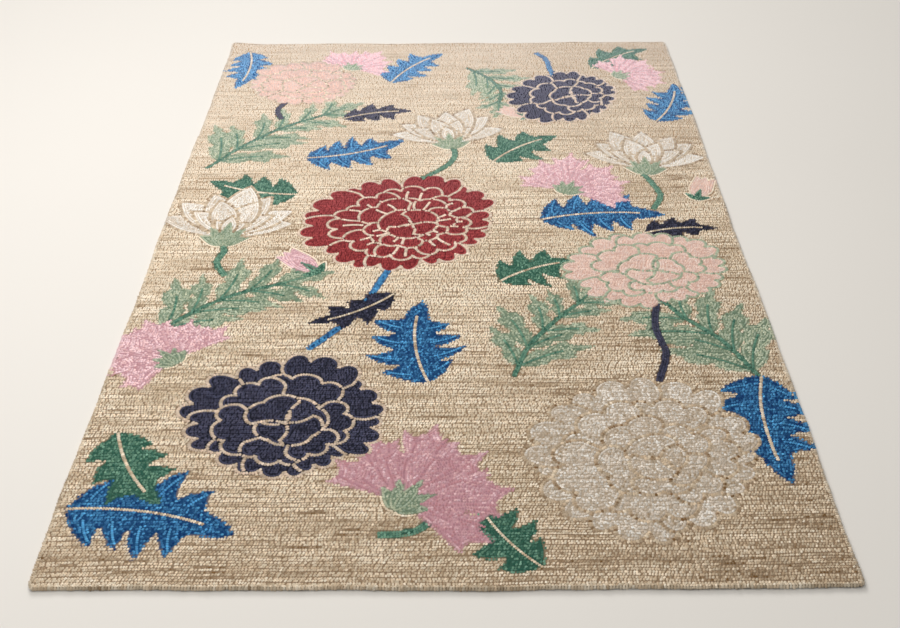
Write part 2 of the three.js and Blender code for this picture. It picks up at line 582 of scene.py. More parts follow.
class Chart:
    """Which patch lies on top in each square millimetre, and where stitches already stand."""

    def __init__(self, width, length):
        self.width, self.length = width, length
        self.shape = (int(length) + 2 * MARGIN, int(width) + 2 * MARGIN)
        self.owner = np.zeros(self.shape, np.int16)
        self.taken = np.zeros(self.shape, bool)

    def cells(self, points):
        column = np.clip(np.rint(points.real + self.width / 2 + MARGIN).astype(int), 0, self.shape[1] - 1)
        line = np.clip(np.rint(points.imag + self.length / 2 + MARGIN).astype(int), 0, self.shape[0] - 1)
        return line, column

    def fill(self, patch):
        """Writes a patch's order into the cells inside its outline, line by line."""
        ring = patch.outline + (self.width / 2 + MARGIN) + 1j * (self.length / 2 + MARGIN)
        start, end = ring, np.roll(ring, -1)
        low = max(int(math.ceil(ring.imag.min())), 0)
        high = min(int(math.floor(ring.imag.max())), self.shape[0] - 1)
        for line in range(low, high + 1):
            crossed = (start.imag <= line) != (end.imag <= line)
            a, b = start[crossed], end[crossed]
            cuts = np.sort(a.real + (line - a.imag) * (b.real - a.real) / (b.imag - a.imag))
            for first, last in zip(cuts[::2], cuts[1::2]):
                self.owner[line, max(int(math.ceil(first)), 0) : max(int(last) + 1, 0)] = patch.order

    def stamp(self, points, radius):
        """Marks the cells round each point as taken."""
        reach = int(radius) + 1
        line, column = self.cells(points)
        for down in range(-reach, reach + 1):
            for right in range(-reach, reach + 1):
                if down * down + right * right <= radius * radius:
                    lines = np.clip(line + down, 0, self.shape[0] - 1)
                    self.taken[lines, np.clip(column + right, 0, self.shape[1] - 1)] = True

    def free(self, points):
        return ~self.taken[self.cells(points)]

    def top(self, points):
        return self.owner[self.cells(points)]


# Where every stitch stands

# Room that the straight rows leave for the rim's own stitches, in millimetres
EDGE_ROOM = 4.6
# Room round the foot of a stitch in which no later one stands, in an outline or vein and in an echo row
LINE_CLEARANCE = 5.0
ECHO_CLEARANCE = 4.7
# Width of an outline's own row beside the first echo row
OUTLINE_ROOM = 3.9
# How far the first echo row in the ground stands outside a patch, in row pitches
GROUND_ECHO = 0.42
# An echo row stops where it comes nearer to another stretch of the outline than this share of its inset
NEAREST = 0.9
# How much lighter the ground's echo rows are, and how much lighter a fleck is
ECHO_LIGHTER = 0.1
FLECK_LIGHTER = 0.36


def rim_offset(place, shift):
    at = 2 * np.pi * (place + shift)
    return sum(wave["reach"] * np.sin(at / wave["length"] + wave["phase"]) for wave in RIM_WAVES)


def uneven(points, width, length):
    """Moves flat places as the rug's uneven rim does."""
    across, along = points.real / (width / 2), points.imag / (length / 2)
    sideways = rim_offset(points.imag, np.where(across < 0, SIDE_SHIFT["left"], SIDE_SHIFT["right"]))
    endways = rim_offset(points.real, np.where(along < 0, SIDE_SHIFT["front"], SIDE_SHIFT["back"]))
    return points + sideways * np.sign(across) * across**4 + 1j * endways * np.sign(along) * along**4


def fade(distance, reach):
    t = np.clip((reach - distance) / reach, 0, 1)
    return t * t * (3 - 2 * t)


def lift(points, width, length):
    """Height of the rug's underside above the floor."""
    from_back, from_left = length / 2 - points.imag, points.real + width / 2
    corner = CURL["rise"] * fade(from_left, CURL["reach_across"]) * fade(from_back, CURL["reach_along"])
    crest = np.maximum(np.sin(2 * np.pi * points.real / RIPPLE["wave_length"] + RIPPLE["phase"]), 0)
    return corner + RIPPLE["rise"] * crest * fade(from_back, RIPPLE["reach_along"])


def pile_wave(points):
    """How far the pile's height strays at each point."""
    return sum(
        wave["reach"]
        * np.sin(2 * np.pi * points.real / wave["across"] + wave["phase"])
        * np.sin(2 * np.pi * points.imag / wave["along"] + wave["phase"])
        for wave in PILE_WAVES
    )


def rim_line(width, length, radius, inset=0.0, step=2.0):
    """The rug's outline, anticlockwise from the front left, before its unevenness, and its direction."""
    half_x, half_y, corner = width / 2 - inset, length / 2 - inset, radius - inset
    quarter = np.linspace(0, np.pi / 2, 12)
    arcs = []
    for side, end, turns in ((-1, -1, 2), (1, -1, 3), (1, 1, 0), (-1, 1, 1)):
        centre = side * (half_x - corner) + 1j * end * (half_y - corner)
        arcs.append(centre + corner * np.exp(1j * (turns * np.pi / 2 + quarter)))
    return even_steps(closed(np.concatenate(arcs)), step)


def strays(rng, points):
    """A normal random number for each point."""
    return rng.normal(size=len(points))


def value_noise(rng, lines, places, line_count, span, knot):
    """Smooth random numbers along each line, from -2 to 2 or so, with a knot every so many millimetres."""
    knots = int(span / knot) + 3
    table = rng.normal(size=(line_count, knots))
    at = np.clip(places / knot, 0, knots - 2)
    low = at.astype(int)
    part = at - low
    part = part * part * (3 - 2 * part)
    return table[lines, low] * (1 - part) + table[lines, low + 1] * part


class Stitches:
    """Every loop of the pile: its place, its turn, its size and its wool's tone."""

    def __init__(self):
        self.parts = []

    def add(self, place, turn, wide, long, tall, wool, tone):
        looks = (np.asarray(each, float) for each in (turn, wide, long, tall, wool, tone))
        self.parts.append((place, *(np.broadcast_to(look, len(place)) for look in looks)))

    def columns(self):
        return [np.concatenate(each) for each in zip(*self.parts)]


def heart_streaks(rng, patch, points):
    """Lighter and darker streaks that run out from a patch's heart."""
    if patch.heart is None or not patch.streak or not len(points):
        return np.zeros(len(points))
    angle = np.angle(points - patch.heart) + np.pi
    reach = np.abs(points - patch.heart).max() + 1
    table = rng.normal(size=int(reach / 1.2) + 4)
    at = angle / (2 * np.pi) * (len(table) - 2)
    return patch.streak * table[at.astype(int)]


# How much lighter the loops of each wool are laid at the far end: a painted veil of the window's light over
# the pile
FAR_PAINTED_VEIL = {
    "crimson": 0.7,
    "navy": 1.1,
    "blue": 0.8,
    "green": 0.3,
    "sage": 0.4,
    "pink": 0.35,
    "salmon": -0.15,
    "ivory": 0.0,
}


class Planner:
    """Lays every stitch: outlines and veins first, then echo rows beside the outlines, then straight rows."""

    def __init__(self, sizes):
        self.rng = np.random.default_rng(SEED)
        self.width, self.length = sizes.width / MM, sizes.length / MM
        self.pitch, self.row_pitch = sizes.loop_pitch / MM, sizes.row_pitch / MM
        self.corner = sizes.corner_radius / MM
        self.drawing = draw_design()
        self.chart = Chart(self.width, self.length)
        for patch in self.drawing.patches:
            self.chart.fill(patch)
        self.wool_number = {name: number for number, name in enumerate(WOOLS)}
        self.owner_wool = np.array([0] + [self.wool_number[patch.wool] for patch in self.drawing.patches])
        self.stitches = Stitches()
        self.lay_lines()
        self.lay_echoes()
        self.lay_straight_rows()

    def usable(self, points):
        """Where a stitch has room, inside the rounded rim and clear of the others."""
        radius = self.corner - EDGE_ROOM
        out_x = np.maximum(np.abs(points.real) - self.width / 2 + self.corner, 0)
        out_y = np.maximum(np.abs(points.imag) - self.length / 2 + self.corner, 0)
        return (np.hypot(out_x, out_y) < radius) & self.chart.free(points)

    def lay_lines(self):
        """Outlines, veins and stalks, each a row of stitches along its line."""
        for row in self.drawing.rows:
            points, way = even_steps(row.line, self.pitch)
            keep = (self.chart.top(points) <= row.order) & self.usable(points)
            points, way = points[keep], way[keep]
            tone = row.tone + row.speckle * strays(self.rng, points)
            turn = np.angle(way) + 0.25 + 0.12 * strays(self.rng, points)
            wide, long = 1.2 * self.pitch, row.stitch * self.pitch
            self.stitches.add(points, turn, wide, long, 1.04, self.wool_number[row.wool], tone)
            self.chart.stamp(points, LINE_CLEARANCE)

    def lay_echoes(self):
        """Rows that follow each patch's outline inside it, and one in the ground round it."""
        edged = {row.order for row in self.drawing.rows}
        for patch in reversed(self.drawing.patches):
            ring = closed(patch.outline)
            area = 0.5 * np.sum((ring[:-1].conjugate() * ring[1:]).imag)
            outline, way = even_steps(ring, 2.0)
            inward = 1j * way * np.sign(area)
            room = OUTLINE_ROOM if patch.order in edged else 0.0
            insets = [room + (number + 0.5) * self.row_pitch for number in range(patch.echo)]
            if patch.order not in edged:
                insets.append(-GROUND_ECHO * self.row_pitch)
            for inset in insets:
                self.lay_echo(patch, outline, inward, inset)

    def lay_echo(self, patch, outline, inward, inset):
        """One row beside a patch's outline, in its wool inside it or in the ground's wool outside it."""
        inside = inset > 0
        points, along = even_steps(closed(outline + inset * inward), self.pitch)
        keep = (self.chart.top(points) == (patch.order if inside else 0)) & self.usable(points)
        points, along = points[keep], along[keep]
        if not len(points):
            return
        clear = np.abs(points[:, None] - outline[None, :]).min(axis=1) > NEAREST * abs(inset)
        points, along = points[clear], along[clear]
        if inside:
            wool = self.wool_number[patch.wool]
            tone = self.patch_tone(patch, points) + patch.rim_tone
        else:
            wool = 0
            tone = self.ground_tone(points, ECHO_LIGHTER)
        turn = np.angle(along) + (0.15 + patch.curl) * strays(self.rng, points)
        wide, long = 1.25 * self.pitch, 1.04 * self.pitch
        self.stitches.add(points, turn, wide, long, 1.0, wool, tone)
        self.chart.stamp(points, ECHO_CLEARANCE)

    def straight_places(self, rows):
        """Each stitch's row number and place, for straight rows that stand in pairs and wander."""
        rng = self.rng
        columns = int(self.width / self.pitch)
        line, column = np.divmod(np.arange(rows * columns), columns)
        phase = rng.uniform(-0.5, 0.5, rows)[line]
        shift = (column + 0.5) * self.pitch
        drift = value_noise(rng, line // 2, shift, rows // 2 + 1, self.width, 60)
        gap = 0.35 + 0.45 * value_noise(rng, line // 2, shift, rows // 2 + 1, self.width, 38)
        x = (column - (columns - 1) / 2 + phase + 0.18 * strays(rng, line)) * self.pitch
        wander = 1.6 * np.sin(2 * np.pi * x / 640 + 0.004 * line * self.row_pitch)
        y = (line - (rows - 1) / 2) * self.row_pitch + np.where(line % 2, -gap, gap) + wander + 0.3 * drift
        return line, x + 1j * (y + 0.3 * strays(rng, line))

    def lay_straight_rows(self):
        """Straight rows everywhere that is still free."""
        rng = self.rng
        rows = int((self.length - 6) / self.row_pitch)
        line, points = self.straight_places(rows)
        keep = self.usable(points)
        points, line = points[keep], line[keep]
        top = self.chart.top(points)
        shift = np.clip(points.real + self.width / 2, 0, self.width)
        streaks, dark = self.row_streaks(line, shift, rows)
        calm = 1 - 1.2 * np.clip(points.imag / self.length, 0, 1)
        tone = self.ground_tone(points, 0.0) + calm * streaks
        curl = np.zeros(len(points))
        for patch in self.drawing.patches:
            chosen = top == patch.order
            if chosen.any():
                tone[chosen] = self.patch_tone(patch, points[chosen])
                curl[chosen] = patch.curl
        lean = 0.2 + 0.18 * value_noise(rng, line // 6, shift, rows // 6 + 1, self.width, 170)
        turn = lean + (0.15 + curl) * strays(rng, points)
        points = points + 1.1 * curl * (strays(rng, points) + 1j * strays(rng, points))
        sunk = np.where(top == 0, dark, 0.0)
        tall = 1.0 + 0.03 * strays(rng, points) - 0.03 * (line % 2) - 0.12 * sunk
        long = 1.04 * self.row_pitch * (1 - 0.25 * sunk)
        wide = self.pitch * (1.06 + 0.2 * curl)
        self.stitches.add(points, turn, wide, long, tall, self.owner_wool[top], tone)

    def patch_tone(self, patch, points):
        """Tones of a patch's stitches, with its drift, speckle, flecks, streaks and the veil of window light
        painted over the far end.
        """
        drift = np.sin(0.19 * points.real + 1.4 * np.sin(0.11 * points.imag))
        drift *= np.sin(0.16 * points.imag + 1.4 * np.sin(0.13 * points.real))
        tone = patch.tone + patch.mottle * drift + patch.speckle * strays(self.rng, points)
        tone += FLECK_LIGHTER * (self.rng.uniform(size=len(points)) < patch.flecks)
        # Painted light: loops laid lighter towards the far end, as the window's veil
        tone += FAR_PAINTED_VEIL[patch.wool] * np.clip(points.imag / self.length, 0, 1)
        return tone + heart_streaks(self.rng, patch, points)

    def ground_tone(self, points, lighter):
        """Heathered ground, busier towards the right front, with painted shade that darkens it towards the
        front and the right.
        """
        across, along = points.real / self.width, points.imag / self.length
        busy = 0.068 + 0.05 * across - 0.11 * along
        # Painted shade: the middle tone falls towards the front and the right, away from the windows
        middle = 0.79 + 0.09 * along - 0.5 * along**2 - 0.08 * across - 0.2 * across**2
        return middle + lighter + busy * strays(self.rng, points)

    def row_streaks(self, line, shift, rows):
        """Light and dark stretches of yarn along the rows, with a few very dark ones."""
        streak = np.minimum(value_noise(self.rng, line, shift, rows, self.width, 70), 0.5)
        pair = value_noise(self.rng, line // 2, shift, rows // 2 + 1, self.width, 190)
        blotch = value_noise(self.rng, line // 9, shift, rows // 9 + 1, self.width, 130)
        dash = value_noise(self.rng, line, shift, rows, self.width, 64)
        beside = np.abs(2 * shift / self.width - 1) ** 3
        dark = np.clip(dash - 1.05 + 0.2 * beside, 0, 0.8)
        dark = dark * (1 + 0.3 * strays(self.rng, line))
        return 0.1 * streak + 0.08 * pair + 0.04 * blotch - 0.5 * dark, dark


PLAN = {}


def stitch_plan(context):
    """The plan of all stitches, made once, and the middle of the rug's uneven outline."""
    if not PLAN:
        sizes = context.scene.rug_sizes
        planner = Planner(sizes)
        PLAN["planner"], PLAN["columns"] = planner, planner.stitches.columns()
        rim, _ = rim_line(planner.width, planner.length, planner.corner)
        rim = uneven(rim, planner.width, planner.length)
        PLAN["middle"] = (rim.real.max() + rim.real.min()) / 2 + 0.5j * (rim.imag.max() + rim.imag.min())
    return PLAN


# Materials


def linear(colour):
    """An eight-bit style colour from 0 to 1 as the linear colour that shaders read."""
    return [c / 12.92 if c <= 0.04045 else ((c + 0.055) / 1.055) ** 2.4 for c in colour]


class Wiring:
    """A new material, with short ways to add its nodes and link them."""

    def __init__(self, name, roughness=0.95, specular=0.06):
        self.material = bpy.data.materials.new(name)
        self.material.use_nodes = True
        self.tree = self.material.node_tree
        self.place = self.node("TexCoord").outputs["Object"]
        self.shade({"Roughness": roughness, "Specular IOR Level": specular})

    def feed(self, sockets, values):
        """Gives sockets, by name or number, numbers, colours of three numbers or other sockets' outputs."""
        for name, value in values.items():
            if isinstance(value, (int, float)):
                sockets[name].default_value = value
            elif isinstance(value, tuple):
                sockets[name].default_value = (*value, 1)
            else:
                self.tree.links.new(value, sockets[name])

    def shade(self, values):
        self.feed(self.tree.nodes["Principled BSDF"].inputs, values)

    def node(self, kind, values=None, **settings):
        node = self.tree.nodes.new("ShaderNode" + kind)
        for name, setting in settings.items():
            setattr(node, name, setting)
        self.feed(node.inputs, values or {})
        return node

    def attribute(self, name, output="Fac"):
        return self.node("Attribute", attribute_name=name).outputs[output]

    def parts(self, vector):
        """The X, Y and Z of a vector."""
        return self.node("SeparateXYZ", {0: vector}).outputs

    def math(self, operation, *values):
        return self.node("Math", dict(enumerate(values)), operation=operation).outputs[0]

    def mix(self, blend, factor, first, second):
        """A mix of two colours, which are the sockets 6 and 7 of its node."""
        values = {0: factor, 6: first, 7: second}
        return self.node("Mix", values, data_type="RGBA", blend_type=blend).outputs[2]

    def noise(self, scale):
        return self.node("TexNoise", {"Scale": scale, "Vector": self.place}).outputs["Fac"]

    def ramp(self, factor, first, last, **between):
        """A colour ramp from first to last. Between gives a colour on the way and its place, from 0 to 1."""
        node = self.node("ValToRGB", {"Fac": factor})
        stops = node.color_ramp.elements
        stops[0].color, stops[1].color = (*first, 1), (*last, 1)
        if between:
            stops.new(between["place"]).color = (*between["colour"], 1)
        return node.outputs["Color"]

    def bump(self, height, strength, distance):
        values = {"Height": height, "Strength": strength, "Distance": distance}
        return self.node("Bump", values).outputs["Normal"]


# How far the hue of single loops strays, to either side
COOL_TINT = (0.96, 1.0, 1.035)
WARM_TINT = (1.04, 0.995, 0.95)
# Tone of the ground's middle shade
MIDDLE_PLACE = 0.6
# How far fibres and plies move a loop's tone, how much the plies add to the fibres in relief, and how
# fast the plies' slanted waves run across and along a loop
FIBRE_CONTRAST = 0.3
PLY_CONTRAST = 0.05
PLY_RELIEF = 0.35
PLY_ACROSS = 7.0
PLY_ALONG = 9.0
# The pale veil of the window's light, painted into the loops' colour over the far end of the pile: its
# colour, its share at the far end, how fast it grows over each metre, its share at the rug's middle and how
# it gathers at the end
PAINTED_VEIL_COLOUR = (0.70, 0.69, 0.80)
PAINTED_VEIL_SHARE = 0.22
PAINTED_VEIL_GROWTH = 0.7
PAINTED_VEIL_START = 0.14
PAINTED_VEIL_GATHER = 1.5


def far_painted_veil(wiring):
    """Share of the painted veil of window light at each place, none at the front and most at the far end."""
    share = wiring.math("MULTIPLY_ADD", wiring.parts(wiring.place)["Y"], PAINTED_VEIL_GROWTH, PAINTED_VEIL_START)
    share = wiring.math("POWER", wiring.math("MAXIMUM", share, 0.0), PAINTED_VEIL_GATHER)
    return wiring.math("MULTIPLY", share, PAINTED_VEIL_SHARE)


def wool_material(name, wools):
    """Looped wool: each loop has its own tone and hue, with fine fibre noise and the twist of its plies."""
    dark, light = (tuple(linear(getattr(wools, name + end))) for end in ("_dark", "_light"))
    wiring = Wiring(name + "_loops")
    fibre = wiring.noise(900.0)
    strand = wiring.parts(wiring.attribute("strand", "Vector"))
    slant = wiring.math("MULTIPLY", strand["Y"], PLY_ALONG)
    ply = wiring.math("SINE", wiring.math("MULTIPLY_ADD", strand["X"], PLY_ACROSS, slant))
    tone = wiring.math("MULTIPLY_ADD", fibre, FIBRE_CONTRAST, wiring.attribute("tone"))
    tone = wiring.math("MULTIPLY_ADD", ply, PLY_CONTRAST, tone)
    tone = wiring.math("SUBTRACT", tone, FIBRE_CONTRAST / 2)
    middle = {"place": MIDDLE_PLACE, "colour": linear(wools.oatmeal_middle)} if name == "oatmeal" else {}
    shade = wiring.ramp(tone, dark, light, **middle)
    tint = wiring.mix("MIX", wiring.attribute("warmth"), COOL_TINT, WARM_TINT)
    colour = wiring.mix("MULTIPLY", 1.0, shade, tint)
    relief = wiring.math("MULTIPLY_ADD", ply, PLY_RELIEF, fibre)
    look = {
        # Painted light: the base colour is mixed towards the pale veil of window light at the far end
        "Base Color": wiring.mix("MIX", far_painted_veil(wiring), colour, PAINTED_VEIL_COLOUR),
        "Normal": wiring.bump(relief, strength=0.35, distance=0.0006),
        "Sheen Weight": 0.6 * (sum(light) / 3) ** 2,
        "Sheen Roughness": 0.5,
        "Sheen Tint": tuple(0.75 + 0.25 * part for part in light),
    }
    wiring.shade(look)
    return wiring.material


def root_material():
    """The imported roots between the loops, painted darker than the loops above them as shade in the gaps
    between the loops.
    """
    wiring = Wiring("pile_roots")
    shade = wiring.ramp(wiring.noise(700.0), (0.7, 0.7, 0.7), (1.2, 1.2, 1.2))
    # The roots' colour carries painted shade between the loops and the painted veil of window light at the
    # far end
    colour = wiring.mix("MULTIPLY", 1.0, wiring.attribute("root_wool_painted_shade_and_veil", "Color"), shade)
    wiring.shade({"Base Color": colour})
    return wiring.material


def underside_material():
    """Plain woven cotton under the rug."""
    wiring = Wiring("underside_cotton")
    weave = {"Scale": 110.0, "Distortion": 0.6, "Vector": wiring.place}
    waves = (wiring.node("TexWave", weave, bands_direction=direction) for direction in ("X", "Y"))
    height = wiring.math("MAXIMUM", *(wave.outputs["Fac"] for wave in waves))
    colour = wiring.ramp(height, (0.42, 0.36, 0.27), (0.66, 0.6, 0.5))
    wiring.shade({"Base Color": colour, "Normal": wiring.bump(height, strength=0.4, distance=0.0008)})
    return wiring.material


def floor_material():
    """Pale paint with hardly any mottle."""
    wiring = Wiring("floor_paint", roughness=0.9, specular=0.05)
    wiring.shade({"Base Color": wiring.ramp(wiring.noise(0.8), (0.70, 0.681, 0.65), (0.725, 0.706, 0.675))})
    return wiring.material


# Meshes


def new_piece(name, mesh, *materials):
    piece = bpy.data.objects.new(name, mesh)
    bpy.context.scene.collection.objects.link(piece)
    for material in materials:
        mesh.materials.append(material)
    return piece


def mesh_from(bm, name):
    """A smooth-shaded mesh."""
    mesh = bpy.data.meshes.new(name)
    bm.to_mesh(mesh)
    bm.free()
    mesh.polygons.foreach_set("use_smooth", [True] * len(mesh.polygons))
    return mesh


def write_attribute(mesh, name, kind, values, field="value"):
    layer = mesh.attributes.new(name, kind, "POINT")
    layer.data.foreach_set(field, np.ascontiguousarray(values, np.float32).ravel())


def loop_mesh():
    """One loop of yarn as a small dome, whose rim stands in the roots. Its sides are one unit long."""
    bm = bmesh.new()
    bmesh.ops.create_grid(bm, x_segments=2, y_segments=2, size=0.78)
    for vert in bm.verts:
        if vert.co.length < 0.1:
            vert.co.z = 1.0
        elif abs(vert.co.x) > 0.1 and abs(vert.co.y) > 0.1:
            vert.co.xy *= 0.74
    mesh = mesh_from(bm, "loop")
    write_attribute(mesh, "strand", "FLOAT_VECTOR", vertex_places(mesh), "vector")
    return mesh


def scatter_group():
    """Geometry nodes that stand the pattern at every point, turned and stretched as the point says."""
    group = bpy.data.node_groups.new("stand_loops", "GeometryNodeTree")
    for name, way, kind in (
        ("Geometry", "INPUT", "Geometry"),
        ("Pattern", "INPUT", "Object"),
        ("Geometry", "OUTPUT", "Geometry"),
    ):
        group.interface.new_socket(name, in_out=way, socket_type="NodeSocket" + kind)
    source, result = group.nodes.new("NodeGroupInput"), group.nodes.new("NodeGroupOutput")
    pattern = group.nodes.new("GeometryNodeObjectInfo")
    stand = group.nodes.new("GeometryNodeInstanceOnPoints")
    realize = group.nodes.new("GeometryNodeRealizeInstances")
    euler = group.nodes.new("FunctionNodeEulerToRotation")
    stored = {}
    for name in ("turn", "stretch"):
        node = group.nodes.new("GeometryNodeInputNamedAttribute")
        node.data_type = "FLOAT_VECTOR"
        node.inputs["Name"].default_value = name
        stored[name] = node.outputs["Attribute"]
    for output, socket in (
        (source.outputs["Geometry"], stand.inputs["Points"]),
        (source.outputs["Pattern"], pattern.inputs["Object"]),
        (pattern.outputs["Geometry"], stand.inputs["Instance"]),
        (stored["turn"], euler.inputs["Euler"]),
        (euler.outputs["Rotation"], stand.inputs["Rotation"]),
        (stored["stretch"], stand.inputs["Scale"]),
        (stand.outputs["Instances"], realize.inputs["Geometry"]),
        (realize.outputs["Geometry"], result.inputs["Geometry"]),
    ):
        group.links.new(output, socket)
    return group


def standing(name, places, turns, stretches, tones, wool, wools):
    """One piece made of a loop at every place, which rides on the rug."""
    points = bpy.data.meshes.new(name + "_places")
    points.vertices.add(len(places))
    points.vertices.foreach_set("co", np.ascontiguousarray(places, np.float32).ravel())
    write_attribute(points, "turn", "FLOAT_VECTOR", turns, "vector")
    write_attribute(points, "stretch", "FLOAT_VECTOR", stretches, "vector")
    write_attribute(points, "tone", "FLOAT", tones)
    write_attribute(points, "warmth", "FLOAT", np.random.default_rng(len(places)).uniform(0, 1, len(places)))
    pattern = new_piece("pattern", loop_mesh())
    piece = new_piece(name, points)
    modifier = piece.modifiers.new("Stand", "NODES")
    group = scatter_group()
    modifier.node_group = group
    modifier["Socket_1"] = pattern
    bpy.context.view_layer.update()
    graph = bpy.context.evaluated_depsgraph_get()
    evaluated = piece.evaluated_get(graph)
    mesh = bpy.data.meshes.new_from_object(evaluated, preserve_all_data_layers=True, depsgraph=graph)
    piece.modifiers.clear()
    piece.data = mesh
    mesh.name = name
    mesh.materials.clear()
    mesh.materials.append(wool_material(wool, wools))
    for attribute in ("turn", "stretch"):
        if attribute in mesh.attributes:
            mesh.attributes.remove(mesh.attributes[attribute])
    bpy.data.meshes.remove(points)
    bpy.data.meshes.remove(pattern.data)
    bpy.data.node_groups.remove(group)
    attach(piece, BODY)
    return piece


def laid(points, height, plan):
    """Where places of the flat plan come to lie, at a height over the rug's underside, in metres."""
    width, length = plan["planner"].width, plan["planner"].length
    moved = uneven(points, width, length) - plan["middle"]
    return np.stack([moved.real, moved.imag, lift(points, width, length) + height], axis=1) * MM


# How far the foot of a loop stands below the top of the roots, in millimetres, and how far loops lean
FOOT_DEPTH = 2.4
LEAN = 0.05


def pile_piece(context, name, wool, chosen):
    """The loops of one wool among the chosen ones, as a piece that rides on the rug."""
    sizes, plan = context.scene.rug_sizes, stitch_plan(context)
    place, turn, wide, long, tall, _, tone = (column[chosen] for column in plan["columns"])
    rng = np.random.default_rng(len(place))
    foot = sizes.root_top / MM - FOOT_DEPTH
    top = (sizes.pile_top / MM - foot + pile_wave(place)) * tall
    turns = np.stack([*(LEAN * rng.normal(size=(2, len(place)))), turn], axis=1)
    stretches = np.stack([wide, long, top], axis=1) * MM
    tone = np.clip(tone, 0, 1)
    return standing(name, laid(place, foot, plan), turns, stretches, tone, wool, context.scene.rug_wools)


def vertex_places(mesh):
    places = np.empty(len(mesh.vertices) * 3, np.float32)
    mesh.vertices.foreach_get("co", places)
    return places.reshape(-1, 3)


def press_on_floor(mesh):
    """Raises what would reach below the floor."""
    places = vertex_places(mesh)
    places[:, 2] = np.maximum(places[:, 2], 0.0)
    mesh.vertices.foreach_set("co", places.ravel())
    mesh.update()


# The base cloth, in millimetres: how far its rim stands in from the loops' rim, the size of its cells and
# the height of its lower rim. Its underside is a coarser grid, a little smaller
CLOTH_INSET = 3.0
CLOTH_CELL = 9.0
LOW_RIM = 1.0
UNDERSIDE_CELLS = (24, 38)
UNDERSIDE_SHARE = 0.99


def crowded(share, cells, half, rim_steps):
    """Turns an even place from -1 to 1 into millimetres, with the last few grid lines crowded at the rim."""
    even = 1 - 2 * np.arange(len(rim_steps)) / cells
    return math.copysign(np.interp(abs(share), [0, *even[::-1]], [0, *(half - rim_steps)[::-1]]), share)


def cloth_place(vert, cells, half, radius, share):
    """Flat place of a vertex of the base cloth, with the corners of its grid rounded."""
    rim_steps = radius * np.array([0.0, 0.4, 0.75, 1.0])
    x = crowded(2 * vert.co.x, cells[0], half[0], rim_steps) * share
    y = crowded(2 * vert.co.y, cells[1], half[1], rim_steps) * share
    out_x, out_y = max(abs(x) - half[0] + radius, 0), max(abs(y) - half[1] + radius, 0)
    if out_x and out_y:
        cut = max(out_x, out_y) / math.hypot(out_x, out_y)
        x = math.copysign(half[0] - radius + out_x * cut, x)
        y = math.copysign(half[1] - radius + out_y * cut, y)
    return np.array([x + 1j * y])


def cloth_mesh(sizes, middle):
    """The roots' top, the rolled rim and the underside as one closed mesh."""
    width, length = sizes.width / MM, sizes.length / MM
    cells = int(width / CLOTH_CELL), int(length / CLOTH_CELL)
    half = width / 2 - CLOTH_INSET, length / 2 - CLOTH_INSET
    radius = sizes.corner_radius / MM - CLOTH_INSET
    bm = bmesh.new()
    bmesh.ops.create_grid(bm, x_segments=cells[0], y_segments=cells[1], size=0.5)
    top_rim = [edge for edge in bm.edges if edge.is_boundary]
    lower = bmesh.ops.extrude_edge_only(bm, edges=top_rim)["geom"]
    low_edges = [item for item in lower if isinstance(item, bmesh.types.BMEdge) and item.is_boundary]
    low = {item for item in lower if isinstance(item, bmesh.types.BMVert)}
    columns, rows = UNDERSIDE_CELLS
    under = set(bmesh.ops.create_grid(bm, x_segments=columns, y_segments=rows, size=0.5)["verts"])
    under_rim = [edge for edge in bm.edges if edge.is_boundary and edge.verts[0] in under]
    for vert in bm.verts:
        flat = cloth_place(vert, cells, half, radius, UNDERSIDE_SHARE if vert in under else 1.0)
        moved = uneven(flat, width, length)[0] - middle
        height = lift(flat, width, length)[0]
        if vert in low:
            height += LOW_RIM
        elif vert not in under:
            height += sizes.root_top / MM
        vert.co = Vector((moved.real, moved.imag, height)) * MM
    bmesh.ops.bridge_loops(bm, edges=low_edges + under_rim)
    bmesh.ops.recalc_face_normals(bm, faces=bm.faces)
    for face in bm.faces:
        face.material_index = 1 if face.normal.z < -0.5 else 0
    return mesh_from(bm, "rug_cloth")


def colour_roots(mesh, wools, plan):
    """Gives the roots the colour of the wool that stands in them, darkened as painted shade in the gaps
    between the loops, and paler towards the far end as a painted veil of window light.
    """
    roots = []
    for name in WOOLS:
        dark, light = (np.array(linear(getattr(wools, name + end))) for end in ("_dark", "_light"))
        paleness = light.mean()
        # Painted shade: the roots take a darkened mix of their wool's colours
        roots.append((0.5 + 0.3 * paleness) * dark + 0.17 * paleness * light)
    planner = plan["planner"]
    places = vertex_places(mesh) / MM
    top = planner.chart.top(places[:, 0] + 1j * places[:, 1] + plan["middle"])
    # Painted light: the roots grow paler towards the far end, as the window's veil
    veil = 1 + 1.3 * np.clip(places[:, 1] / planner.length + 0.15, 0, 1)
    colours = np.ones((len(places), 4))
    colours[:, :3] = np.array(roots)[planner.owner_wool[top]] * veil[:, None]
    layer = mesh.color_attributes.new("root_wool_painted_shade_and_veil", "FLOAT_COLOR", "POINT")
    layer.data.foreach_set("color", colours.astype(np.float32).ravel())


# How the rolled row of stitches at the rim stands, in millimetres and degrees, its mean tone, and how far
# inside it the wool of each stitch is looked up
RIM_ROW = {"inset": 4.4, "height": 4.5, "tilt": 40.0, "wide": 4.9, "long": 7.0, "tall": 5.2}
RIM_TONE = 0.61
RIM_LOOKUP = 8


